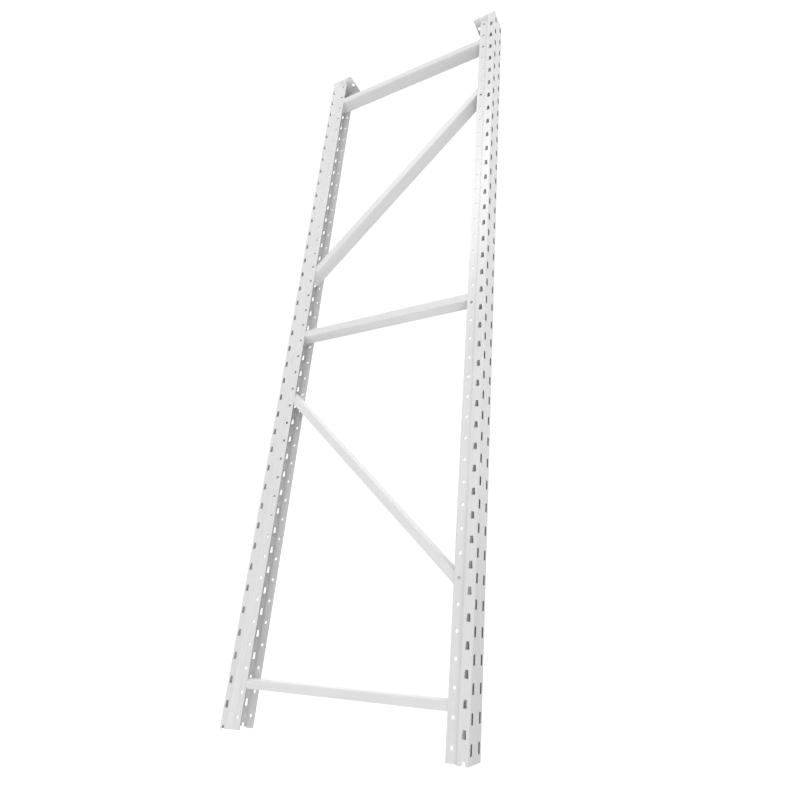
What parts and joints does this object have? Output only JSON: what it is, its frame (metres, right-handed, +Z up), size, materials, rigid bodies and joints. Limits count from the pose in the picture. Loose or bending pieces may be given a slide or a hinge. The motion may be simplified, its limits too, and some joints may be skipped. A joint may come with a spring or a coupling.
{
  "type": "shelving upright frame",
  "caption": "Welded end frame for boltless shelving: perforated folded steel posts on anchor foot plates, tied by level and diagonal channel braces, to carry hook-in beams.",
  "frame": {"origin": "on the floor, midway between the two posts and in the frame's middle plane", "axes": "+Z up; +X from the front post to the rear post, across the shelf's depth; +Y along the shelf's length"},
  "size_m": [0.6, 0.06, 2],
  "materials": {
    "post_coat": "satin powder coat",
    "foot_coat": "satin powder coat",
    "brace_coat": "satin powder coat",
    "weld_coat": "powder coat over weld"
  },
  "bodies": {
    "root": {"front_post": "post_coat", "front_foot_plate": "foot_coat", "rear_post": "post_coat", "rear_foot_plate": "foot_coat", "bottom_brace": "brace_coat", "middle_brace": "brace_coat", "top_brace": "brace_coat", "lower_diagonal": "brace_coat", "upper_diagonal": "brace_coat", "bottom_brace_front_weld": "weld_coat", "bottom_brace_rear_weld": "weld_coat", "middle_brace_front_weld": "weld_coat", "middle_brace_rear_weld": "weld_coat", "top_brace_front_weld": "weld_coat", "top_brace_rear_weld": "weld_coat", "lower_diagonal_front_weld": "weld_coat", "lower_diagonal_rear_weld": "weld_coat", "upper_diagonal_front_weld": "weld_coat", "upper_diagonal_rear_weld": "weld_coat", "front_foot_weld": "weld_coat", "rear_foot_weld": "weld_coat"}
  },
  "joints": []
}
